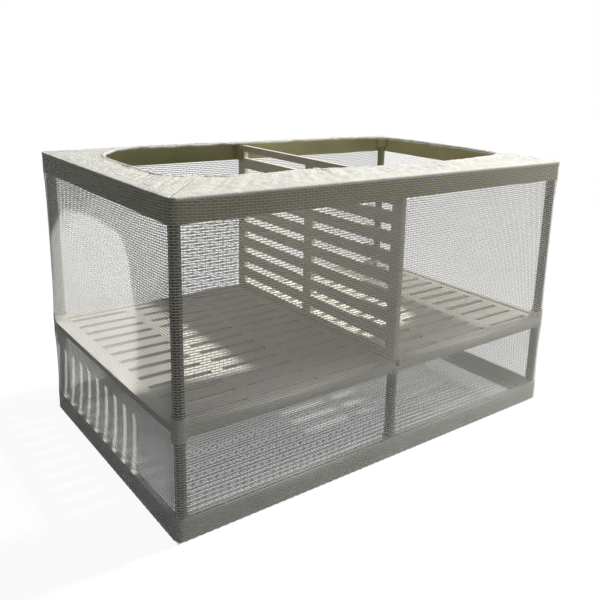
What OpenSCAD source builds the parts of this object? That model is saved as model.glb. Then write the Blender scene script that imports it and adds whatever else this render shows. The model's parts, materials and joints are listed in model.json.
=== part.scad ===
// Two-storey fish breeding box: a plug-together plastic frame in a sewn net bag.
// The origin is the middle of the footprint on the surface that the box stands on.
// +X runs along the length, the front is at -Y and +Z is up. All sizes are in millimetres.

/* [Box] */
// Length over the net
box_l = 245; // [200:1:300]
// Width over the net
box_w = 155; // [130:1:200]
// Height over the net
box_h = 148; // [136:1:180]
// Thickness of the net cloth
net_t = 0.45; // [0.3:0.05:0.8]

/* [Frames] */
// Wall of the top and bottom frames
ring_wall = 2; // [1.6:0.1:3]
// Width of the deck frame's rim
deck_rim_w = 2.6; // [2.4:0.1:3.5]
// Set-back of the deck frame's skirt under its rim
skirt_set_back = 1; // [0:0.1:1.2]
// Height of the deck frame's rim
deck_rim_h = 3.5; // [1.5:0.1:5]
// Rise of the rim above the deck grids
deck_lip = 0.8; // [0.3:0.1:3]
// Outer radius of the rings' corners, which is also the radius of the lower sockets
corner_r = 3.45; // [3.3:0.05:4.5]
// Height of the top frame's band
top_band_h = 10; // [8:0.5:14]
// Height of the deck frame on the long sides, from the foot of its skirt to its rim
deck_band_h = 6.3; // [6:0.1:12]
// Height of the bottom frame's band
base_band_h = 10.55; // [9:0.05:14]
// Height of the deck frame's lower edge above the surface
deck_z = 47.5; // [40:0.5:60]
// Thickness of the deck frame's ledge and cross bar
deck_ledge_t = 2; // [1.6:0.1:4]
// Reach of the deck frame's ledge, inward from its rim
deck_ledge_w = 3.4; // [2.5:0.1:8]
// Width of the cross bar under the divider
cross_bar_w = 14; // [10:0.5:24]
// Thickness of the bottom frame's foot ledge
base_ledge_t = 2; // [1.6:0.1:3]
// Reach of the foot ledge, inward from the ring's wall
base_ledge_w = 3.6; // [2:0.1:8]

/* [Posts] */
// Diameter of a post
post_d = 5; // [4.6:0.1:6]
// Diameter of the spigot on each end of a post
spigot_d = 3.6; // [3:0.1:4]
// Length of a spigot in a corner socket
spigot_l = 4.8; // [3:0.1:5]
// Length of the shorter spigot under the middle of the deck frame
middle_spigot_l = 2.2; // [1.5:0.1:2.4]
// Gap between a spigot and its socket, on the radius
spigot_gap = 0.05; // [0.02:0.01:0.1]
// Free depth past the end of a spigot
socket_spare = 0.4; // [0.2:0.1:0.8]
// Outer radius of the top frame's corner sockets
top_socket_r = 4.6; // [4:0.1:6]
// Height of the top frame's corner sockets
top_socket_h = 6.5; // [6:0.1:9]
// Height of the collars above the deck frame's rim
collar_rise = 3.2; // [0.5:0.1:5]
// Drop of the collars below the deck frame's skirt
collar_drop = 1; // [0.6:0.1:3]
// Radius of the flared foot of an upper post
foot_r = 3.1; // [2.8:0.05:3.4]
// Height of the flared foot of an upper post
foot_h = 2.4; // [1:0.1:4]

/* [Divider] */
// Thickness of the divider plate
divider_t = 2.6; // [2:0.1:4]
// Height of one slot
divider_slot_h = 3.9; // [2:0.1:4]
// Spacing of the slots, centre to centre
divider_slot_pitch = 10.1; // [6:0.1:16]
// Width of the plain stile at each end
divider_end_w = 7; // [4:0.5:15]
// Width of the plain stile in the middle
divider_middle_w = 7.4; // [4:0.1:15]
// Height of the plain bar below the slots
divider_foot_h = 7.3; // [5:0.1:15]
// Least height of the plain bar above the slots
divider_head_h = 3.8; // [3:0.1:10]
// Gap between the divider and what guides it
divider_gap = 0.35; // [0.3:0.05:0.6]
// Gap between the divider's top edge and the elastic hem
divider_head_gap = 0.35; // [0.3:0.05:1]
// Wall of a guide rib
guide_wall = 1.6; // [1.2:0.1:3]
// Depth of a guide rib, inward from the ring's wall
guide_depth = 4; // [3:0.1:8]
// Depth of the groove that guides the divider, cut in the top frame's wall
guide_groove = 1; // [0.4:0.1:1.2]

/* [Deck grids] */
// Thickness of a deck grid
grid_t = 2; // [1.5:0.1:3]
// Gap round a deck grid
grid_gap = 0.6; // [0.3:0.05:1.5]
// Length of one slot
grid_slot_l = 32; // [20:0.5:50]
// Width of one slot
grid_slot_w = 3.8; // [2:0.1:4]
// Spacing of the slots' rows, centre to centre
grid_row_pitch = 11.4; // [7:0.1:20]
// Rib between two slots in a row
grid_rib = 6; // [4:0.5:12]
// Least plain margin round the slots
grid_margin = 3.5; // [3:0.1:12]

/* [Net bag] */
// Height of one of the openings that stand for the mesh
net_open_h = 5.6; // [2:0.1:6]
// Spacing of the rows of openings, centre to centre
net_row_pitch = 9.3; // [8:0.1:20]
// Least spacing of the openings in a row, centre to centre
net_column_pitch = 37; // [20:0.5:80]
// Width of the strands between two openings in a row
net_strand = 3; // [1.5:0.1:6]
// Width of the plain net past the edges of the rings
net_margin = 1; // [0.5:0.1:4]

/* [Net border] */
// Reach of the turned-in net past the front edge of the box
border_front_w = 31; // [20:1:45]
// Reach of the turned-in net past the rear edge of the box
border_rear_w = 8; // [8:0.5:30]
// Reach of the turned-in net past the left edge of the box
border_left_w = 20; // [12:0.5:30]
// Reach of the turned-in net past the right edge of the box
border_right_w = 9; // [9:0.5:30]
// Corner cut of the opening at the front left, along the length
cut_front_left_l = 34; // [10:1:50]
// Corner cut of the opening at the front left, along the width
cut_front_left_w = 26; // [10:1:40]
// Corner cut of the opening at the front right, along the length
cut_front_right_l = 22; // [8:1:50]
// Corner cut of the opening at the front right, along the width
cut_front_right_w = 14; // [8:1:40]
// Corner cut of the opening at the rear left, along the length
cut_rear_left_l = 24; // [8:1:50]
// Corner cut of the opening at the rear left, along the width
cut_rear_left_w = 26; // [8:1:40]
// Corner cut of the opening at the rear right, along the length
cut_rear_right_l = 20; // [8:1:50]
// Corner cut of the opening at the rear right, along the width
cut_rear_right_w = 30; // [8:1:40]
// Width of the elastic hem
hem_w = 2.4; // [1.5:0.1:4]
// Thickness of the elastic hem
hem_t = 0.8; // [0.6:0.05:1.5]

/* [Hidden] */
ROUND = 64;
EPS = 0.01;
FAR = 2 * (box_l + box_w + box_h);

// Outside of the rings, just inside the net
ring_l = box_l - 2 * net_t;
ring_w = box_w - 2 * net_t;
ring_top = box_h - net_t;
// Faces of the top frame's wall that look into the box
inner_x = ring_l / 2 - ring_wall;
inner_y = ring_w / 2 - ring_wall;
// Faces of the deck frame's rim that look into the box
deck_inner_x = ring_l / 2 - deck_rim_w;
deck_inner_y = ring_w / 2 - deck_rim_w;
// Centres of the corner posts, on the centres of the rings' corner radii
post_x = ring_l / 2 - corner_r;
post_y = ring_w / 2 - corner_r;

// Levels of the three rings
base_top = net_t + base_band_h;
deck_top = deck_z + deck_band_h;
deck_seat = deck_top - deck_lip - grid_t;
deck_ledge_z = deck_seat - deck_ledge_t;
top_band_z = ring_top - top_band_h;
top_socket_z = ring_top - top_socket_h;

// Ends of the posts
upper_foot_z = deck_top + collar_rise;
lower_head_z = deck_z - collar_drop;
socket_r = spigot_d / 2 + spigot_gap;
socket_depth = spigot_l + socket_spare;
middle_socket_depth = middle_spigot_l + socket_spare;

// Divider plate
divider_foot_z = deck_seat;
divider_top_z = box_h - hem_t - divider_head_gap;
divider_h = divider_top_z - divider_foot_z;
divider_w = 2 * (inner_y + guide_groove - divider_gap);
divider_slot_l = (divider_w - 2 * divider_end_w - divider_middle_w) / 2;
divider_rows = floor((divider_h - divider_foot_h - divider_head_h - divider_slot_h) / divider_slot_pitch) + 1;
notch_w = divider_t + 2 * divider_gap;

// Deck grids
grid_x0 = divider_t / 2 + divider_gap;
grid_x1 = deck_inner_x - grid_gap;
grid_len = grid_x1 - grid_x0;
grid_w = 2 * (deck_inner_y - grid_gap);
grid_columns = floor((grid_len - 2 * grid_margin + grid_rib) / (grid_slot_l + grid_rib));
grid_rows = floor((grid_w - 2 * grid_margin - grid_slot_w) / grid_row_pitch) + 1;
grid_notch = 2 * corner_r - deck_rim_w + grid_gap;

// Half lengths of the parts of the bag with openings
net_open_x = post_x - corner_r;
net_open_y = post_y - corner_r;

// Opening of the net border: the first four values are its sides
open_left = -box_l / 2 + border_left_w;
open_right = box_l / 2 - border_right_w;
open_front = -box_w / 2 + border_front_w;
open_rear = box_w / 2 - border_rear_w;
// Places where the border's four pieces meet: the middles of the corner cuts
seam_front_left = [open_left + cut_front_left_l / 2, open_front + cut_front_left_w / 2];
seam_front_right = [open_right - cut_front_right_l / 2, open_front + cut_front_right_w / 2];
seam_rear_left = [open_left + cut_rear_left_l / 2, open_rear - cut_rear_left_w / 2];
seam_rear_right = [open_right - cut_rear_right_l / 2, open_rear - cut_rear_right_w / 2];
corner_front_left = [-box_l / 2, -box_w / 2];
corner_front_right = [box_l / 2, -box_w / 2];
corner_rear_left = [-box_l / 2, box_w / 2];
corner_rear_right = [box_l / 2, box_w / 2];

// The opening's edge, one stretch for each side, anticlockwise from above
front_path = [
    seam_front_left,
    [open_left + cut_front_left_l, open_front],
    [open_right - cut_front_right_l, open_front],
    seam_front_right
];
right_path = [
    seam_front_right,
    [open_right, open_front + cut_front_right_w],
    [open_right, open_rear - cut_rear_right_w],
    seam_rear_right
];
rear_path = [
    seam_rear_right,
    [open_right - cut_rear_right_l, open_rear],
    [open_left + cut_rear_left_l, open_rear],
    seam_rear_left
];
left_path = [
    seam_rear_left,
    [open_left, open_rear - cut_rear_left_w],
    [open_left, open_front + cut_front_left_w],
    seam_front_left
];

// A rectangle about the origin with round corners
module rounded_plan(l, w, r) {
    square([l - 2 * r, w], center = true);
    square([l, w - 2 * r], center = true);
    for (x = [-1, 1], y = [-1, 1])
        translate([x * (l / 2 - r), y * (w / 2 - r)])
            circle(r = r, $fn = ROUND);
}

// A solid with the plan of the rings' outside
module ring_block(z, h, shrink = 0) {
    translate([0, 0, z])
        linear_extrude(h)
            rounded_plan(ring_l - 2 * shrink, ring_w - 2 * shrink, max(corner_r - shrink, 1));
}

// An upright band round the box: both faces are given as set-backs from the rings' outside
module band(z, h, outer, inner) {
    difference() {
        ring_block(z, h, outer);
        ring_block(z - EPS, h + 2 * EPS, inner);
    }
}

// A flat ledge inside a band, up to a set-back from the rings' outside
module ledge(z, t, outer, reach) {
    difference() {
        ring_block(z, t, outer);
        translate([0, 0, z + t / 2])
            cube([ring_l - 2 * reach, ring_w - 2 * reach, t + 2 * EPS], center = true);
    }
}

module at_corners() {
    for (x = [-1, 1], y = [-1, 1])
        translate([x * post_x, y * post_y, 0])
            children();
}

module at_long_sides() {
    for (y = [-1, 1])
        translate([0, y * post_y, 0])
            children();
}

// A round solid or bore that stands at height z
module upright(z, h, r) {
    translate([0, 0, z])
        cylinder(h = h, r = r, $fn = ROUND);
}

// A guide rib on each side of the divider, at both long sides, sunk half-way into the wall
module guide_ribs() {
    rib_h = divider_top_z - top_band_z;
    for (x = [-1, 1], y = [-1, 1])
        translate([x * (notch_w + guide_wall) / 2, y * (inner_y + (ring_wall / 2 - guide_depth) / 2), top_band_z + rib_h / 2])
            cube([guide_wall, guide_depth + ring_wall / 2, rib_h], center = true);
}

module top_frame() {
    color("ivory")
        difference() {
            union() {
                band(top_band_z, top_band_h, 0, ring_wall);
                guide_ribs();
                intersection() {
                    ring_block(top_socket_z, top_socket_h);
                    at_corners()
                        upright(top_socket_z, top_socket_h, top_socket_r);
                }
            }
            at_corners() {
                upright(top_socket_z - EPS, socket_depth + EPS, socket_r);
                upright(top_band_z - EPS, top_socket_z - top_band_z + EPS, post_d / 2 + spigot_gap);
            }
            translate([0, 0, top_band_z + top_band_h / 2])
                cube([notch_w, 2 * (inner_y + guide_groove), top_band_h + 2 * EPS], center = true);
        }
}

// The skirt under the deck frame's rim, on the long sides only, from collar to collar
module deck_skirt() {
    intersection() {
        band(deck_z, deck_band_h, skirt_set_back, deck_rim_w);
        cube([2 * post_x, FAR, FAR], center = true);
    }
}

module deck_frame() {
    color("ivory")
        difference() {
            union() {
                deck_skirt();
                band(deck_top - deck_rim_h, deck_rim_h, 0, deck_rim_w);
                ledge(deck_ledge_z, deck_ledge_t, skirt_set_back, deck_rim_w + deck_ledge_w);
                translate([0, 0, deck_ledge_z + deck_ledge_t / 2])
                    cube([cross_bar_w, 2 * deck_inner_y + deck_rim_w - skirt_set_back, deck_ledge_t], center = true);
                at_corners()
                    upright(lower_head_z, upper_foot_z - lower_head_z, corner_r);
                at_long_sides()
                    upright(lower_head_z, deck_seat - lower_head_z, corner_r);
            }
            at_corners()
                upright(lower_head_z - EPS, upper_foot_z - lower_head_z + 2 * EPS, socket_r);
            at_long_sides()
                upright(lower_head_z - EPS, middle_socket_depth + EPS, socket_r);
            translate([0, 0, deck_seat + deck_band_h / 2])
                cube([notch_w, FAR, deck_band_h], center = true);
        }
}

module bottom_frame() {
    color("ivory")
        difference() {
            union() {
                band(net_t, base_band_h, 0, ring_wall);
                ledge(net_t, base_ledge_t, 0, ring_wall + base_ledge_w);
                at_corners()
                    upright(net_t, base_band_h, corner_r);
                at_long_sides()
                    upright(net_t, base_band_h, corner_r);
            }
            at_corners()
                upright(base_top - socket_depth, socket_depth + EPS, socket_r);
            at_long_sides()
                upright(base_top - socket_depth, socket_depth + EPS, socket_r);
        }
}

// A post between two levels, with a spigot of its own length on each end
module post(z0, z1, foot_spigot, head_spigot) {
    upright(z0, z1 - z0, post_d / 2);
    upright(z0 - foot_spigot, foot_spigot + EPS, spigot_d / 2);
    upright(z1 - EPS, head_spigot + EPS, spigot_d / 2);
}

module upper_post(x, y) {
    color("ivory")
        translate([x * post_x, y * post_y, 0]) {
            post(upper_foot_z, top_socket_z, spigot_l, spigot_l);
            translate([0, 0, upper_foot_z])
                cylinder(h = foot_h, r1 = foot_r, r2 = post_d / 2, $fn = ROUND);
        }
}

module lower_post(x, y) {
    color("ivory")
        translate([x * post_x, y * post_y, 0])
            post(base_top, lower_head_z, spigot_l, x == 0 ? middle_spigot_l : spigot_l);
}

module divider() {
    row_y = (divider_slot_l + divider_middle_w) / 2;
    color("ivory")
        difference() {
            translate([-divider_t / 2, -divider_w / 2, divider_foot_z])
                cube([divider_t, divider_w, divider_h]);
            for (row = [0 : divider_rows - 1], y = [-1, 1])
                translate([0, y * row_y, divider_foot_z + divider_foot_h + row * divider_slot_pitch + divider_slot_h / 2])
                    cube([divider_t + 2 * EPS, divider_slot_l, divider_slot_h], center = true);
        }
}

// One deck grid: side is -1 on the left and 1 on the right
module deck_grid(side) {
    field_l = grid_columns * grid_slot_l + (grid_columns - 1) * grid_rib;
    first_x = (grid_x0 + grid_x1 - field_l + grid_slot_l) / 2;
    first_y = -(grid_rows - 1) * grid_row_pitch / 2;
    color("ivory")
        translate([0, 0, deck_seat])
            linear_extrude(grid_t)
                difference() {
                    translate([side * (grid_x0 + grid_x1) / 2, 0])
                        square([grid_len, grid_w], center = true);
                    for (y = [-1, 1])
                        translate([side * deck_inner_x, y * deck_inner_y])
                            square(2 * grid_notch, center = true);
                    for (column = [0 : grid_columns - 1], row = [0 : grid_rows - 1])
                        translate([side * (first_x + column * (grid_slot_l + grid_rib)), first_y + row * grid_row_pitch])
                            square([grid_slot_l, grid_slot_w], center = true);
                }
}

// Plan of the whole bag, with round corners
module bag_plan() {
    rounded_plan(box_l, box_w, corner_r + net_t);
}

// The part of the plan that belongs to one side: a = -1 or 1 along X or Y
module side_sector(along_x, a) {
    reach = box_w / 2 + 10 * net_t;
    middle = (box_l - box_w) / 2;
    if (along_x)
        polygon([[a * middle, 0], [a * (middle + reach), -reach], [a * (middle + reach), reach]]);
    else
        polygon([[-middle, 0], [-middle - reach, a * reach], [middle + reach, a * reach], [middle, 0]]);
}

// A plain grid of openings in the XY plane, centred along X and between y0 and y1,
// in place of the fine mesh
module net_openings(half_l, y0, y1) {
    columns = floor((2 * half_l + net_strand) / net_column_pitch);
    rows = floor((y1 - y0 - net_open_h) / net_row_pitch) + 1;
    column_pitch = (2 * half_l + net_strand) / columns;
    first_y = (y0 + y1 - (rows - 1) * net_row_pitch) / 2;
    for (column = [0 : columns - 1], row = [0 : rows - 1])
        translate([(column + 0.5) * column_pitch - half_l - net_strand / 2, first_y + row * net_row_pitch])
            square([column_pitch - net_strand, net_open_h], center = true);
}

// The openings of one wall, as prisms through it: a = -1 or 1 along X or Y
module wall_openings(along_x, a) {
    half_l = along_x ? net_open_y : net_open_x;
    far = along_x ? ring_l / 2 : ring_w / 2;
    rotate([0, 0, along_x ? 90 : 0])
        translate([0, (along_x ? -a : a) * far, 0])
            rotate([90, 0, 0])
                linear_extrude(4 * net_t, center = true) {
                    net_openings(half_l, base_top + net_margin, deck_z - net_margin);
                    net_openings(half_l, deck_top + net_margin, top_band_z - net_margin);
                }
}

// One upright wall of the bag, from the floor panel to the border
module net_wall(along_x, a) {
    color("white")
        difference() {
            translate([0, 0, net_t])
                linear_extrude(ring_top - net_t)
                    intersection() {
                        difference() {
                            bag_plan();
                            rounded_plan(ring_l, ring_w, corner_r);
                        }
                        side_sector(along_x, a);
                    }
            wall_openings(along_x, a);
        }
}

module net_floor() {
    color("white")
        linear_extrude(net_t)
            bag_plan();
}

// A unit vector square to the line from a to b, on its right
function right_of(a, b) = let (d = (b - a) / norm(b - a)) [d.y, -d.x];

// The point of a path moved to its right, so that the strip between them is w wide
function moved(path, i, w) =
    let (
        last = len(path) - 1,
        before = right_of(path[max(i - 1, 0)], path[max(i, 1)]),
        after = right_of(path[min(i, last - 1)], path[min(i + 1, last)])
    )
    path[i] + w * (before + after) / (1 + before * after);

// The edge of the net border, which is the outer edge of the elastic hem
function hem_edge(path) = [for (i = [0 : len(path) - 1]) moved(path, i, hem_w)];

// One piece of the turned-in border, from the hem's outer edge to two corners of the box
module border(path, corners) {
    color("whitesmoke")
        translate([0, 0, ring_top])
            linear_extrude(net_t)
                intersection() {
                    bag_plan();
                    polygon(concat(hem_edge(path), corners));
                }
}

// One stretch of the elastic hem, along the opening's edge
module hem(path) {
    edge = hem_edge(path);
    color("gainsboro")
        translate([0, 0, box_h - hem_t])
            linear_extrude(hem_t)
                polygon(concat(path, [for (i = [len(path) - 1 : -1 : 0]) edge[i]]));
}

top_frame();
deck_frame();
bottom_frame();
upper_post(-1, -1);  // upper_post_front_left
upper_post(1, -1);  // upper_post_front_right
upper_post(-1, 1);  // upper_post_rear_left
upper_post(1, 1);  // upper_post_rear_right
lower_post(-1, -1);  // lower_post_front_left
lower_post(1, -1);  // lower_post_front_right
lower_post(-1, 1);  // lower_post_rear_left
lower_post(1, 1);  // lower_post_rear_right
lower_post(0, -1);  // lower_post_front_middle
lower_post(0, 1);  // lower_post_rear_middle
divider();
deck_grid(-1);  // left_deck_grid
deck_grid(1);  // right_deck_grid
net_wall(false, -1);  // net_front
net_wall(false, 1);  // net_rear
net_wall(true, -1);  // net_left
net_wall(true, 1);  // net_right
net_floor();
border(front_path, [corner_front_right, corner_front_left]);  // border_front
border(rear_path, [corner_rear_left, corner_rear_right]);  // border_rear
border(left_path, [corner_front_left, corner_rear_left]);  // border_left
border(right_path, [corner_rear_right, corner_front_right]);  // border_right
hem(front_path);  // hem_front
hem(rear_path);  // hem_rear
hem(left_path);  // hem_left
hem(right_path);  // hem_right
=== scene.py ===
# %% [markdown]
# # A two-storey fish breeding box
#
# This notebook dresses a fish breeding box: a plastic frame that plugs together, inside a bag
# sewn from fine white net. The frame's solids come ready-made from the CAD model, in metres, and
# every other piece is set around them. So the first cell loads those solids and keeps their box,
# and each later cell adds one thing that the real box has.

# %% Load the CAD frame
import json
import math

import bpy
import numpy as np
from mathutils import Matrix, Vector, noise


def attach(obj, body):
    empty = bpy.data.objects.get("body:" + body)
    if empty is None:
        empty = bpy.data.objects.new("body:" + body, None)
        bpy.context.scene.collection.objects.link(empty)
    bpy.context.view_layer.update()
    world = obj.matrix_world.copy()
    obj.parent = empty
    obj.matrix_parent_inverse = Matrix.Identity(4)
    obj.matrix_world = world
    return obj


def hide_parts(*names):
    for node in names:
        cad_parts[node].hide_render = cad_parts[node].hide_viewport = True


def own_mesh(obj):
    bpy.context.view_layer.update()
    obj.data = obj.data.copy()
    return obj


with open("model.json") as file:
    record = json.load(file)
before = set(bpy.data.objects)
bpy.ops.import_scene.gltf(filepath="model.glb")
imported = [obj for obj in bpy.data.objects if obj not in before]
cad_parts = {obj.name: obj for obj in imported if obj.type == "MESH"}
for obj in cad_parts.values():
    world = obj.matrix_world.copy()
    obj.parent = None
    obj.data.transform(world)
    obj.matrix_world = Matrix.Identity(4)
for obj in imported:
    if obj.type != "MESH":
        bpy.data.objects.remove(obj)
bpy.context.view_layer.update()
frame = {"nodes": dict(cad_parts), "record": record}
MM = 0.001

# %% [markdown]
# ## The camera
#
# The box is seen from its front left corner and a little from above. A camera could be aimed by
# eye, but here its place and its two directions are known, so they are written down as vectors and
# turned into a matrix. The lens follows from the focal length in pixels: a 36 mm sensor spans the
# 600 pixels of the picture. The small shift moves the picture without changing the perspective.

# %% Camera
EYE = Vector((-0.2346, -0.3164, 0.1972))
SIGHT = Vector((0.6023, 0.7568, -0.2539)).normalized()
UP = Vector((0.1331, 0.2184, 0.9667)).normalized()
PICTURE = 600
FOCAL_PIXELS = 710.52
SENSOR_WIDTH = 36
AXIS_PIXEL = (332.57, 251.96)

camera = bpy.data.objects.new("camera", bpy.data.cameras.new("camera"))
bpy.context.collection.objects.link(camera)
camera.data.sensor_width = SENSOR_WIDTH
camera.data.lens = SENSOR_WIDTH * FOCAL_PIXELS / PICTURE
camera.data.shift_x = 0.5 - AXIS_PIXEL[0] / PICTURE
camera.data.shift_y = AXIS_PIXEL[1] / PICTURE - 0.5
camera.data.clip_start = 0.01
side_vector = SIGHT.cross(UP).normalized()
top_vector = side_vector.cross(SIGHT)
turned = Matrix((side_vector, top_vector, -SIGHT)).transposed().to_4x4()
camera.matrix_world = Matrix.Translation(EYE) @ turned
bpy.context.scene.camera = camera
bpy.context.scene.view_settings.view_transform = "Standard"
print("lens", round(camera.data.lens, 2), "mm")

# %% [markdown]
# ## Shader maths in plain Python
#
# A material is a graph of nodes. Wiring such a graph by hand hides the idea behind it, so two small
# classes help. `Wire` stands for one output of a node: adding or multiplying wires adds the Math
# nodes that do it. `Graph` adds any other node with one method, and links what is passed to it.

# %% Wires and graphs
class Wire:
    """One output of a node, which takes part in Python arithmetic."""

    def __init__(self, graph, socket):
        self.graph = graph
        self.socket = socket

    def maths(self, operation, a, b):
        return self.graph.node("Math", {"operation": operation}, {0: a, 1: b})

    def __add__(self, other):
        return self.maths("ADD", self, other)

    __radd__ = __add__

    def __mul__(self, other):
        return self.maths("MULTIPLY", self, other)

    __rmul__ = __mul__

    def __sub__(self, other):
        return self.maths("SUBTRACT", self, other)

    def __rsub__(self, other):
        return self.maths("SUBTRACT", other, self)


class Graph:
    """The nodes of one material or of the world."""

    def __init__(self, owner):
        owner.use_nodes = True
        self.owner = owner
        self.tree = owner.node_tree

    def node(self, kind, settings=None, inputs=None, output=0):
        made = self.tree.nodes.new("ShaderNode" + kind)
        for name, value in (settings or {}).items():
            if name == "stops":
                self.set_stops(made.color_ramp, value)
            else:
                setattr(made, name, value)
        for name, value in (inputs or {}).items():
            self.feed(made.inputs[name], value)
        return Wire(self, made.outputs[output]) if made.outputs else None

    def set_stops(self, ramp, stops):
        while len(ramp.elements) < len(stops):
            ramp.elements.new(0.5)
        for element, (place, colour) in zip(ramp.elements, stops):
            element.position = place
            element.color = (*colour, 1) if hasattr(colour, "__len__") else (colour,) * 3 + (1,)

    def feed(self, socket, value):
        if isinstance(value, Wire):
            self.tree.links.new(value.socket, socket)
        elif hasattr(value, "__len__") and socket.type == "RGBA":
            socket.default_value = (*value[:3], 1)
        else:
            socket.default_value = value

    def place(self):
        """Where a point of the piece is, in metres."""
        return self.node("TexCoord", output="Object")

    def stretched(self, factors):
        """The place, with each axis multiplied by its own factor."""
        return self.node("VectorMath", {"operation": "MULTIPLY"}, {0: self.place(), 1: factors})

    def axis(self, letter):
        return self.node("SeparateXYZ", None, {0: self.place()}, output=letter)

    def noise(self, size_mm, detail=2.0, roughness=0.5, vector=None):
        inputs = {"Vector": vector or self.place(), "Scale": 1 / (size_mm * MM)}
        inputs.update(Detail=detail, Roughness=roughness)
        return self.node("TexNoise", None, inputs, output="Fac")

    def ramp(self, factor, stops):
        return self.node("ValToRGB", {"stops": stops}, {0: factor})

    def blend(self, factor, a, b):
        return self.node("Mix", {"data_type": "RGBA"}, {0: factor, 6: a, 7: b}, output=2)

    def bump(self, height, distance_mm, strength=1.0):
        inputs = {"Height": height, "Distance": distance_mm * MM, "Strength": strength}
        return self.node("Bump", None, inputs)


class Finish(Graph):
    """A material whose Principled shader gets its sockets set by name."""

    def __init__(self, name):
        super().__init__(bpy.data.materials.new(name))
        self.shader = self.tree.nodes["Principled BSDF"]

    def surface(self, **sockets):
        for name, value in sockets.items():
            self.feed(self.shader.inputs[name.replace("_", " ")], value)
        return self.owner


# %% [markdown]
# ## Light
#
# The key light comes from the right, a little from the front, and falls at about 54 degrees: bars
# of light that pass through the deck's slots and land on the left net show it. A sun lamp would
# light both ends of the box alike, but the box is clearly paler at its right end, so the key is a
# small round lamp 1.3 m away.

# %% Key light
KEY_TRAVEL = Vector((-0.72, 0.105, -1.0))
LIT_SPOT = Vector((-0.1125, 0.0, 0.045))
KEY_DISTANCE = 1.31
KEY_POWER, KEY_SIZE = 18, 0.075
KEY_COLOUR = (1.0, 0.985, 0.96)


def round_lamp(name, place, travel, power, size, colour):
    """A soft round lamp at a place, shining along a direction, that the camera can't see."""
    lamp = bpy.data.objects.new(name, bpy.data.lights.new(name, "AREA"))
    lamp.data.shape = "DISK"
    lamp.data.size = size
    lamp.data.energy = power
    lamp.data.color = colour
    lamp.location = place
    lamp.rotation_mode = "QUATERNION"
    lamp.rotation_quaternion = travel.to_track_quat("-Z", "Y")
    lamp.visible_camera = False
    bpy.context.collection.objects.link(lamp)
    return lamp


key_place = LIT_SPOT - KEY_TRAVEL.normalized() * KEY_DISTANCE
key = round_lamp("key_light", key_place, KEY_TRAVEL, KEY_POWER, KEY_SIZE, KEY_COLOUR)
print("key light at", [round(v, 3) for v in key.location])

# %% [markdown]
# The front of the box gets almost no key light, yet its right end and its foot are pale. On a
# table that light comes from a white card beside the box, so a second lamp stands low, in front
# and to the right, about 0.4 m away. Closer to the right end, or stronger, it would turn the pale
# plastic there to plain white. A faint sky fills the rest. Camera, glossy and transmission rays see
# white instead, so the backdrop is white without lighting the box.

# %% White card and sky
CARD_PLACE = Vector((0.38, -0.34, 0.12))
CARD_AIM = Vector((0.08, -0.05, 0.07))
CARD_POWER, CARD_SIZE = 0.6, 0.24
CARD_COLOUR = (1.0, 0.99, 0.97)
SKY_STRENGTH = 0.04

card = round_lamp("white_card", CARD_PLACE, CARD_AIM - CARD_PLACE, CARD_POWER, CARD_SIZE, CARD_COLOUR)
print("card at", [round(v, 3) for v in card.location])


def seen_directly(graph):
    """1 for rays that show the surface itself, and 0 for rays that carry light."""
    camera_ray = graph.node("LightPath", output="Is Camera Ray")
    glossy_ray = graph.node("LightPath", output="Is Glossy Ray")
    clear_ray = graph.node("LightPath", output="Is Transmission Ray")
    return camera_ray.maths("MAXIMUM", camera_ray.maths("MAXIMUM", camera_ray, glossy_ray), clear_ray)


world = bpy.data.worlds.new("sky")
bpy.context.scene.world = world
sky = Graph(world)
background = world.node_tree.nodes["Background"]
sky.feed(background.inputs["Color"], (1.0, 1.0, 1.0))
sky.feed(background.inputs["Strength"], seen_directly(sky) * (1 - SKY_STRENGTH) + SKY_STRENGTH)

# %% [markdown]
# ## Floor
#
# The box stands on white paper. The paper glows for the camera, so that it is as white as the
# backdrop, and the part of its light that comes from the lamps leaves a faint shadow. Further out
# the shadow part fades away, so no horizon shows. For all other rays it is a grey that gives back
# little light.

# %% Floor
FLOOR_BOUNCE = 0.24
PAPER_GLOW, PAPER_SHADE = 0.94, 0.1
FLOOR_HALF = 3.0
FLOOR_DROP = 0.2 * MM
FADE_FROM, FADE_TO = 0.3, 0.75

floor = bpy.data.objects.new("floor", bpy.data.meshes.new("floor"))
corners = [(-1, -1), (1, -1), (1, 1), (-1, 1)]
floor.data.from_pydata([(FLOOR_HALF * x, FLOOR_HALF * y, 0) for x, y in corners], [], [(0, 1, 2, 3)])
bpy.context.collection.objects.link(floor)
floor.location.z = -FLOOR_DROP
ground = Graph(bpy.data.materials.new("floor_paper"))
ground.tree.nodes.clear()
glow = ground.node("Emission", None, {"Color": (1.0, 1.0, 1.0), "Strength": PAPER_GLOW})
shade = ground.node("BsdfDiffuse", None, {"Color": (PAPER_SHADE,) * 3})
paper = ground.node("AddShader", None, {0: glow, 1: shade})
far = ground.node("Emission", None, {"Color": (1.0, 1.0, 1.0), "Strength": 1.0})
distance = ground.node("VectorMath", {"operation": "LENGTH"}, {0: ground.place()}, output=1)
fade_range = {"Value": distance, "From Min": FADE_FROM, "From Max": FADE_TO}
fade = ground.node("MapRange", {"clamp": True}, fade_range)
shown = ground.node("MixShader", None, {0: fade, 1: paper, 2: far})
bounce = ground.node("BsdfDiffuse", None, {"Color": (FLOOR_BOUNCE,) * 3})
both = ground.node("MixShader", None, {0: seen_directly(ground), 1: bounce, 2: shown})
ground.node("OutputMaterial", None, {0: both})
floor.data.materials.append(ground.owner)

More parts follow.
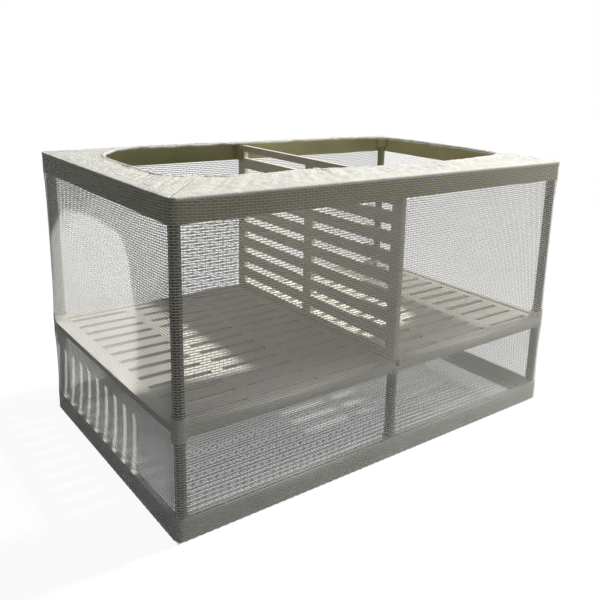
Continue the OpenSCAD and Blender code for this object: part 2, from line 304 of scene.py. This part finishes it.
# %% [markdown]
# ## Moulded plastic
#
# The rings, posts, divider and grids are moulded plastic, all of it cream. Seen through the net, the
# top ring and the upper posts look olive and the lower posts grey, so they get those tones: painted
# shade, the deep shade they stand in behind the net. Fresh mouldings are never one flat colour: the
# plastic is a little yellower where it flowed slowly, and it has faint streaks along the flow and a
# fine grain from the mould. All of that is built from noise in the piece's own place, so it needs no
# image and no UV map. It reflects little, because a shinier plastic would mirror the white backdrop.

# %% Plastic finish
def moulded(name, cream, shade, streaks):
    """Plastic: its main colour, its deeper shade, and the direction of its flow streaks."""
    finish = Finish(name)
    cloud = finish.noise(38, detail=3)
    flow = finish.noise(9, detail=4, roughness=0.6, vector=finish.stretched(streaks))
    speck = finish.noise(0.7, detail=1)
    tone = finish.ramp(cloud * 0.6 + flow * 0.4, [(0.36, shade), (0.62, cream)])
    paler = tuple(min(1.0, c * 1.08) for c in cream)
    colour = finish.blend((speck - 0.5) * 0.12 + 0.06, tone, paler)
    skin = finish.noise(1.6, detail=3, roughness=0.7)
    return finish.surface(
        Base_Color=colour,
        Roughness=0.34 + 0.2 * flow + 0.1 * speck,
        Normal=finish.bump(skin * 0.7 + flow * 0.3, 0.05, 0.5),
        IOR=1.49,
        Specular_IOR_Level=0.2,
    )


EDGE_SOFTENING = 0.22 * MM
EDGE_ANGLE = math.radians(50)
FLAT_FLOW, TALL_FLOW = (0.25, 0.25, 1.0), (1.0, 1.0, 0.15)
divider_plastic = moulded("cream_divider", (0.80, 0.76, 0.64), (0.72, 0.68, 0.54), (1.0, 0.2, 1.0))
grid_plastic = moulded("cream_grid", (0.86, 0.84, 0.77), (0.80, 0.77, 0.68), (0.2, 1.0, 1.0))
PLASTIC_OF = {
    # The olive of the top ring and upper posts and the grey of the lower posts are painted shade on
    # cream plastic
    "top_frame": moulded("top_ring_olive_painted_shade", (0.48, 0.47, 0.28), (0.38, 0.37, 0.18), FLAT_FLOW),
    "deck_frame": moulded("cream_deck_ring", (0.86, 0.84, 0.76), (0.78, 0.76, 0.66), FLAT_FLOW),
    "bottom_frame": moulded("cream_base_ring", (0.82, 0.81, 0.74), (0.74, 0.73, 0.64), FLAT_FLOW),
    "upper_post": moulded("upper_post_olive_painted_shade", (0.30, 0.29, 0.20), (0.21, 0.20, 0.13), TALL_FLOW),
    "lower_post": moulded("lower_post_grey_painted_shade", (0.50, 0.49, 0.42), (0.40, 0.39, 0.32), TALL_FLOW),
    "divider": divider_plastic,
    "left_deck_grid": grid_plastic,
    "right_deck_grid": grid_plastic,
}
for part in frame["record"]["subparts"]:
    plastic = next((p for name, p in PLASTIC_OF.items() if part["node"].startswith(name)), None)
    if plastic:
        solid = frame["nodes"][part["node"]]
        solid.data.materials.clear()
        solid.data.materials.append(plastic)
        softened = solid.modifiers.new("moulded_edges", "BEVEL")
        softened.width = EDGE_SOFTENING
        softened.segments = 2
        softened.limit_method = "ANGLE"
        softened.angle_limit = EDGE_ANGLE
        softened.use_clamp_overlap = True

# %% [markdown]
# ## Meshes from arrays
#
# The net has tens of thousands of small holes, so its threads are computed as NumPy arrays and
# handed to Blender in one go. Each thread is a three-sided tube: at half a millimetre across nobody
# sees more sides, and the piece stays light. Its UV map gives each thread a strip of its own.

# %% Mesh helpers
def add_piece(name, points, faces, material, uv=None):
    """A smooth-shaded mesh object from points and faces."""
    mesh = bpy.data.meshes.new(name)
    face_list = faces if isinstance(faces, list) else faces.tolist()
    mesh.from_pydata(np.asarray(points).tolist(), [], face_list)
    if uv is not None:
        layer = mesh.uv_layers.new(name="OFBake")
        layer.data.foreach_set("uv", np.asarray(uv, np.float32).ravel())
    mesh.polygons.foreach_set("use_smooth", [True] * len(mesh.polygons))
    mesh.materials.append(material)
    mesh.update()
    piece = bpy.data.objects.new(name, mesh)
    bpy.context.collection.objects.link(piece)
    return piece


def thread_tubes(paths, outs, radius, first_strip, strips, sides=3):
    """Closed tubes along many paths of equal length: points, quads, and the quads' UVs."""
    threads, samples, _ = paths.shape
    along = np.gradient(paths, axis=1)
    along /= np.linalg.norm(along, axis=2, keepdims=True)
    across = np.cross(along, outs)
    across /= np.linalg.norm(across, axis=2, keepdims=True)
    out = np.cross(across, along)
    turn = 2 * math.pi * np.arange(sides) / sides
    rings = [paths + radius * (math.cos(t) * out + math.sin(t) * across) for t in turn]
    points = np.stack(rings, axis=2).reshape(-1, 3)
    counts = np.arange(threads), np.arange(samples - 1), np.arange(sides)
    thread, sample, side = np.meshgrid(*counts, indexing="ij")
    here = (thread * samples + sample) * sides
    beside = (side + 1) % sides
    around = [here + side, here + beside, here + sides + beside, here + sides + side]
    quads = np.stack(around, axis=-1).reshape(-1, 4)
    u0, u1 = sample / (samples - 1), (sample + 1) / (samples - 1)
    v0 = (first_strip + thread + side / sides) / strips
    v1 = (first_strip + thread + (side + 1) / sides) / strips
    uv = np.stack([u0, v0, u0, v1, u1, v1, u1, v0], axis=-1).reshape(-1, 2)
    return points, quads, uv


def joined(*tubes):
    """Several sets of tubes as one."""
    points, quads, uvs, start = [], [], [], 0
    for p, q, uv in tubes:
        points.append(p)
        quads.append(q + start)
        uvs.append(uv)
        start += len(p)
    return np.concatenate(points), np.concatenate(quads), np.concatenate(uvs)


# %% [markdown]
# ## The net walls
#
# The bag's walls are knitted nylon: rows of thread 1.15 mm apart, tied by thinner threads that
# step from side to side. A picture of a net on a flat plane would give itself away at the corners
# and from close up, so the threads are real. They run over the three rings and sink in a little
# between them, but never past the posts and the divider that hold them out.

# %% Where the net runs
RING_L, RING_W = 244.1 * MM, 154.1 * MM
RING_R = 3.45 * MM
RING_TOP = 147.55 * MM
BAYS_BETWEEN = [(11.0 * MM, 50.3 * MM), (53.8 * MM, 137.55 * MM)]
BAYS_AT_POSTS = [(11.0 * MM, 46.5 * MM), (57.0 * MM, 137.55 * MM)]
SETTLE = 9 * MM
DIP_AT_POSTS = 0.72 * MM
DIP_BETWEEN = 1.9 * MM
ROW_PITCH = 1.15 * MM
TIE_PITCH = 1.92 * MM
ROW_R, TIE_R = 0.26 * MM, 0.09 * MM
ROW_OFF, TIE_OFF = 0.27 * MM, 0.2 * MM
FLOOR_ROW_Z, FLOOR_TIE_Z = 0.27 * MM, 0.22 * MM
TIE_STEP = 0.3 * MM
ROW_WAVE = 0.13 * MM
CORNER_PULL = 2.6 * MM
CORNER_REACH = 28 * MM

SIDES = {
    "front": (np.array([1.0, 0, 0]), np.array([0, -1.0, 0]), RING_L / 2, RING_W / 2),
    "right": (np.array([0, 1.0, 0]), np.array([1.0, 0, 0]), RING_W / 2, RING_L / 2),
    "rear": (np.array([-1.0, 0, 0]), np.array([0, 1.0, 0]), RING_L / 2, RING_W / 2),
    "left": (np.array([0, -1.0, 0]), np.array([-1.0, 0, 0]), RING_W / 2, RING_L / 2),
}
HALF_CORNER = RING_R * math.pi / 4


def half_wall(side):
    """Half the length of one wall, on to the middle of the round corner at its end."""
    return SIDES[side][2] - RING_R + HALF_CORNER


def wall_point(side, s, z, off):
    """Points and outward directions of one wall, at s along it, z up and off outside the rings."""
    along, out, half, far = SIDES[side]
    straight = half - RING_R
    turn = np.clip(np.abs(s) - straight, 0, HALF_CORNER) / RING_R * np.sign(s)
    flat = np.clip(s, -straight, straight)
    facing = np.cos(turn)[..., None] * out + np.sin(turn)[..., None] * along
    point = out * (far - RING_R) + flat[..., None] * along + (RING_R + off)[..., None] * facing
    point[..., 2] = z
    return point, facing


def dip(side, s, z):
    """How far the net has sunk in between the rings."""
    straight = SIDES[side][2] - RING_R
    part = np.clip(np.abs(s) / straight, 0, 1)
    span = np.abs(np.sin(math.pi * part)) if side in ("front", "rear") else np.cos(math.pi / 2 * part)
    sunk = np.zeros_like(z)
    for at_posts, between in zip(BAYS_AT_POSTS, BAYS_BETWEEN):
        low, high = (a + (b - a) * span for a, b in zip(at_posts, between))
        inside = (z > low) & (z < high)
        bow = (1 - np.exp(-(z - low) / SETTLE)) * (1 - np.exp(-(high - z) / SETTLE))
        sunk = np.where(inside, bow, sunk)
    return sunk * (DIP_AT_POSTS + (DIP_BETWEEN - DIP_AT_POSTS) * span)


def pulled(side, s, z):
    """The rows rise towards the corners, where the bag is pulled up hardest."""
    straight = SIDES[side][2] - RING_R
    rise = CORNER_PULL * np.exp(-(straight - np.minimum(np.abs(s), straight)) / CORNER_REACH)
    return np.minimum(z * (1 + rise / RING_TOP), RING_TOP - ROW_R)


def wall_net(side):
    """The rows and ties of one wall, as one set of tubes."""
    half = half_wall(side)
    rows = np.arange(0.5 * ROW_PITCH, RING_TOP, ROW_PITCH)
    count = round(2 * half / TIE_PITCH)
    ties = (np.arange(count) + 0.5) / count * 2 * half - half
    stations = np.concatenate([[-half], ties, [half]])
    s, z = np.meshgrid(stations, rows)
    row, station = np.meshgrid(np.arange(len(rows)), np.arange(len(stations)), indexing="ij")
    z = pulled(side, s, z + np.where((row + station) % 2, ROW_WAVE, -ROW_WAVE))
    row_points, row_outs = wall_point(side, s, z, ROW_OFF - dip(side, s, z))
    step = np.where(np.arange(len(rows)) % 2, TIE_STEP, -TIE_STEP)
    s, z = ties[:, None] + step[None, :], np.broadcast_to(rows, (count, len(rows)))
    z = pulled(side, s, z)
    tie_points, tie_outs = wall_point(side, s, z, TIE_OFF - dip(side, s, z))
    strips = len(rows) + count
    return joined(
        thread_tubes(row_points, row_outs, ROW_R, 0, strips),
        thread_tubes(tie_points, tie_outs, TIE_R, len(rows), strips),
    )


# %% [markdown]
# Nylon thread is clear inside and white outside. Some light passes through it, which a share of
# translucent shader gives. That share sees the white backdrop, so it is there only for rays that
# show the thread itself, and doesn't light the plastic behind it. A thread this thin also bends
# light only a little off its way, so behind a real net it is much lighter than its holes alone
# would make it. Tracing that would need glass threads and very many rays, so for shadow rays alone
# the thread is partly clear.

# %% Net finish
THREAD_GLOW = 0.48
THREAD_SHADOW_CLEAR = 0.55


def nylon(name, pale, deep):
    """White nylon thread: it glows a little, and greys a little where it is handled."""
    finish = Finish(name)
    patch = finish.noise(26, detail=3)
    fine = finish.noise(3.0, detail=2)
    finish.surface(
        Base_Color=finish.ramp(patch * 0.7 + fine * 0.3, [(0.35, deep), (0.6, pale)]),
        Roughness=0.4 + 0.25 * fine,
        IOR=1.53,
    )
    skin = Wire(finish, finish.shader.outputs[0])
    glow = finish.node("BsdfTranslucent", None, {"Color": (0.93, 0.93, 0.93)})
    thread = finish.node("MixShader", None, {0: seen_directly(finish) * THREAD_GLOW, 1: skin, 2: glow})
    clear = finish.node("BsdfTransparent", None, {"Color": (1.0, 1.0, 1.0)})
    shadow_ray = finish.node("LightPath", output="Is Shadow Ray")
    shown = finish.node("MixShader", None, {0: shadow_ray * THREAD_SHADOW_CLEAR, 1: thread, 2: clear})
    finish.feed(finish.tree.nodes["Material Output"].inputs["Surface"], shown)
    return finish.owner


net_thread = nylon("net_thread", (0.93, 0.93, 0.92), (0.86, 0.86, 0.85))

# %% Net walls
for side in SIDES:
    points, quads, uv = wall_net(side)
    net = add_piece(f"net_{side}_threads", points, quads, net_thread, uv)
    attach(net, "box")
    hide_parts(f"net_{side}")
    width = 2 * half_wall(side)
    print(net.name, len(quads), "quads")

# %% Net floor
floor_rows = np.arange(-RING_W / 2 + 0.4 * MM, RING_W / 2, ROW_PITCH)
floor_count = round(RING_L / TIE_PITCH)
floor_ties = ((np.arange(floor_count) + 0.5) / floor_count - 0.5) * RING_L
stations = np.linspace(-RING_L / 2, RING_L / 2, 40)
x, y = np.meshgrid(stations, floor_rows)
row_points = np.stack([x, y, np.full_like(x, FLOOR_ROW_Z)], axis=-1)
step = np.where(np.arange(len(floor_rows)) % 2, TIE_STEP, -TIE_STEP)
x = floor_ties[:, None] + step[None, :]
y = np.broadcast_to(floor_rows, (floor_count, len(floor_rows)))
tie_points = np.stack([x, y, np.full_like(x, FLOOR_TIE_Z)], axis=-1)
UPWARD = np.array([0, 0, 1.0])
strips = len(floor_rows) + floor_count
points, quads, uv = joined(
    thread_tubes(row_points, np.broadcast_to(UPWARD, row_points.shape), ROW_R, 0, strips),
    thread_tubes(tie_points, np.broadcast_to(UPWARD, tie_points.shape), TIE_R, len(floor_rows), strips),
)
net = add_piece("net_floor_threads", points, quads, net_thread, uv)
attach(net, "box")
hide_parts("net_floor")
print(net.name, len(quads), "quads")

# %% [markdown]
# ## The gathered border
#
# Above the top ring the bag is turned in, and an elastic gathers its edge to a smaller opening. The
# spare cloth has nowhere to go but up, so it stands in small creases that run towards the elastic.
# A simulation fine enough for creases this small would take too long. A sheet of points between the
# rim and the opening, lifted by ridged noise that is stretched across the elastic, gives creases
# of that kind quickly, and with its seed set it gives them again on every run.

# %% The opening's edge
OPENING_MM = [
    (-102.5, -19), (-100.5, -29), (-95, -35.5), (-86, -39), (-74.5, -43.5), (-56.5, -44.8),
    (-37.5, -42.2), (-22.5, -45.5), (0, -48.6), (19.5, -50.6), (57.5, -50.3), (86, -46.5),
    (102, -43), (109.5, -38), (113, -28), (113.6, -14.5), (114.6, 14.5), (114.2, 36),
    (111, 55), (104, 64), (92, 69), (70, 71.6), (30, 71.2), (-10, 72),
    (-50, 72.2), (-72, 71.4), (-83, 67), (-91, 59), (-97, 50.5), (-101.5, 36),
    (-103, 8),
]
CORNER_SEAMS = {"front_left": 2.6, "front_right": 12.6, "rear_right": 18.7, "rear_left": 27.3}


def opening_edge(at):
    """A point on the opening's edge, at places counted in control points, by Catmull-Rom curves."""
    control = np.array(OPENING_MM) * MM
    count = len(control)
    at = np.asarray(at, float) % count
    i = np.floor(at).astype(int)
    t = (at - i)[..., None]
    a, b, c, d = (control[(i + k) % count] for k in (-1, 0, 1, 2))
    bend = (2 * a - 5 * b + 4 * c - d) * t**2
    return 0.5 * (2 * b + (c - a) * t + bend + (3 * b - a - 3 * c + d) * t**3)


def even_run(start, end, step):
    """Places from start to end along the opening's edge, about step apart."""
    fine = np.linspace(start, end, 4000)
    points = opening_edge(fine)
    run = np.concatenate([[0], np.cumsum(np.linalg.norm(np.diff(points, axis=0), axis=1))])
    count = max(8, round(run[-1] / step))
    return np.interp(np.linspace(0, run[-1], count + 1), run, fine)


BORDERS = {
    "front": ("front_left", "front_right"),
    "right": ("front_right", "rear_right"),
    "rear": ("rear_right", "rear_left"),
    "left": ("rear_left", "front_left"),
}


def edge_run(side, step):
    start, end = (CORNER_SEAMS[corner] for corner in BORDERS[side])
    return even_run(start, end if end > start else end + len(OPENING_MM), step)


# %% Creases
CREASE_RUN = 4.5 * MM
CREASE_H = 0.75 * MM
CRUMPLE_H = 0.62 * MM
BORDER_Z = 148.0 * MM
BORDER_OUT = 0.42 * MM
BORDER_DROP = 0.9 * MM
RIM_ROUND = 2.5 * MM
GATHER_REACH = 16 * MM
HEM_COVER = 2.6 * MM
HEM_R = 1.05 * MM
CRUMPLE_SEED = 7

# The vector noise takes its offsets from this seed, and without one from the clock
noise.seed_set(CRUMPLE_SEED)


def crease(edge, x, y):
    """Height of the creases that run to one point of the elastic, from the place on both."""
    soft = noise.noise(Vector((x, y, 3.1 * MM)) / (17 * MM))
    ridge = 1 - 2 * abs(noise.noise(Vector((edge[0], edge[1], 0.5 * CREASE_RUN * soft)) / CREASE_RUN))
    deeper = Vector((edge[0], edge[1], 9 * MM + 6 * MM * soft))
    long_fold = 1 - 2 * abs(noise.noise(deeper / (2.3 * CREASE_RUN)))
    return 0.55 * ridge + 0.45 * long_fold


def crumple(x, y):
    """Height of the small creases that run every way, strong in some patches and weak in others."""
    patch = 0.5 + noise.noise(Vector((x, y, 21 * MM)) / (23 * MM))
    bent = noise.noise_vector(Vector((x, y, 5 * MM)) / (6 * MM)) * (1.6 * MM)
    large = 1 - 2 * abs(noise.noise((Vector((x, y, 0)) + bent) / (6.5 * MM)))
    small = 1 - 2 * abs(noise.noise((Vector((y, x, 11 * MM)) + bent) / (2.6 * MM)))
    return (0.35 + 0.9 * max(0.0, patch)) * (0.65 * large + 0.35 * small - 0.55)


def outward_of(edge):
    """Directions square to the opening's edge, away from the opening."""
    tangent = np.gradient(edge, axis=0)
    tangent /= np.linalg.norm(tangent, axis=1, keepdims=True)
    return np.stack([tangent[:, 1], -tangent[:, 0]], axis=1)


def border_cloth(side, step=0.7 * MM, rows=50):
    """The cloth from the rim's outer edge on to the top of the hem, as a grid of points."""
    places = edge_run(side, step)
    edge = opening_edge(places)
    inner = edge + outward_of(edge) * HEM_R * 0.8
    columns = len(places)
    half = half_wall(side)
    spread = np.linspace(-half, half, columns)
    tops, outs = np.full(columns, RING_TOP), np.full(columns, BORDER_OUT)
    outer = wall_point(side, spread, tops, outs)[0][:, :2]
    points = []
    for i in range(columns):
        width = np.linalg.norm(outer[i] - inner[i])
        points.append((outer[i][0], outer[i][1], RING_TOP - BORDER_DROP))
        for j in range(rows + 1):
            v = j / rows
            x, y = outer[i] * (1 - v) + inner[i] * v
            rim = min(1.0, v * width / RIM_ROUND)
            gather = min(1.0, v * width / GATHER_REACH)
            on_hem = max(0.0, 1 - (1 - v) * width / HEM_COVER) ** 2
            folds = CREASE_H * gather * (crease(edge[i], x, y) - 0.4)
            lift = folds + CRUMPLE_H * (0.2 + 0.8 * rim) * crumple(x, y)
            z = BORDER_Z + rim * 0.3 * MM + on_hem * 0.75 * MM + lift * (1 - 0.6 * on_hem)
            points.append((x, y, z))
    across = rows + 2
    first = (np.arange(columns - 1)[:, None] * across + np.arange(across - 1)[None, :]).ravel()
    quads = np.stack([first, first + across, first + across + 1, first + 1], axis=-1)
    return np.array(points), quads


# %% Border finish
# The hollow tone is painted shade, laid where the cloth's bump is low
HOLLOW_PAINTED_SHADE, MIDDLE, CREST = (0.62, 0.62, 0.57), (0.74, 0.74, 0.69), (0.83, 0.83, 0.79)


def gathered_net(name):
    """Doubled net: white, with the rows of its threads as fine lines, and greyed by painted shade in
    the hollows of its bump.
    """
    finish = Finish(name)
    x, y = finish.axis("X"), finish.axis("Y")
    warp = finish.noise(7, detail=2)

    def lines(place, pitch):
        wound = (place + warp * (1.5 * MM)) * (2 * math.pi / pitch)
        return finish.node("Math", {"operation": "SINE"}, {0: wound})

    weave = lines(y, ROW_PITCH) * 0.5 + lines(x, TIE_PITCH) * 0.5
    patch = finish.noise(5, detail=4, roughness=0.65)
    stops = [(0.3, HOLLOW_PAINTED_SHADE), (0.5, MIDDLE), (0.7, CREST)]
    # Painted shade: where the noise that raises the bump is low, the tone goes grey
    tone = finish.ramp(patch * 0.8 + weave * 0.1 + 0.05, stops)
    return finish.surface(
        Base_Color=tone,
        Roughness=0.7 + 0.2 * patch,
        Normal=finish.bump(weave * 0.5 + patch, 0.25, 0.6),
    )


border_fabric = gathered_net("gathered_net")

# %% Border pieces
borders = {}
for side in SIDES:
    points, quads = border_cloth(side)
    cloth = add_piece(f"border_{side}_cloth", points, quads, border_fabric)
    shell = cloth.modifiers.new("cloth_thickness", "SOLIDIFY")
    shell.thickness = 0.3 * MM
    shell.offset = -1
    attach(cloth, "box")
    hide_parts(f"border_{side}")
    borders[side] = cloth
    print(cloth.name, len(quads), "quads")

# %% Elastic hem
HEM_SIDES = 10
BORDER_DEPTHS = {"front": 0.036, "right": 0.013, "rear": 0.0105, "left": 0.028}


def hem_roll(side, step=0.6 * MM):
    """A ruffled tube along the opening's edge."""
    places = edge_run(side, step)
    edge = opening_edge(places)
    outward = outward_of(edge)
    points = []
    for i in range(len(edge)):
        here = Vector((edge[i][0], edge[i][1], 0))
        ruffle = noise.noise(here / (1.9 * MM))
        sway = noise.noise(here / (7 * MM) + Vector((0, 0, 4.5)))
        centre = edge[i] + outward[i] * (HEM_R * 0.9 + 0.5 * MM * sway)
        for k in range(HEM_SIDES):
            angle = 2 * math.pi * k / HEM_SIDES
            rough = noise.noise(here / (1.1 * MM) + Vector((0, 0, k * 1.3)))
            radius = HEM_R * (1 + 0.3 * ruffle + 0.15 * rough)
            flat = centre + outward[i] * radius * math.cos(angle)
            z = BORDER_Z + 0.1 * MM + 0.45 * MM * sway + 0.8 * radius * math.sin(angle)
            points.append((flat[0], flat[1], z))
    ring, k = np.meshgrid(np.arange(len(edge) - 1), np.arange(HEM_SIDES), indexing="ij")
    a, b = ring * HEM_SIDES + k, ring * HEM_SIDES + (k + 1) % HEM_SIDES
    quads = np.stack([a, b, b + HEM_SIDES, a + HEM_SIDES], axis=-1).reshape(-1, 4).tolist()
    last = (len(edge) - 1) * HEM_SIDES
    caps = [list(range(HEM_SIDES))[::-1], [last + k for k in range(HEM_SIDES)]]
    return np.array(points), quads + caps


for side in SIDES:
    points, faces = hem_roll(side)
    hem = add_piece(f"hem_{side}_roll", points, faces, border_fabric)
    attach(hem, "box")
    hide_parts(f"hem_{side}")
    size = (2 * SIDES[side][2], BORDER_DEPTHS[side])
    axis, far = SIDES[side][1], SIDES[side][3]
    for piece in (borders[side], hem):
        tuple(axis * far)
        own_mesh(piece)
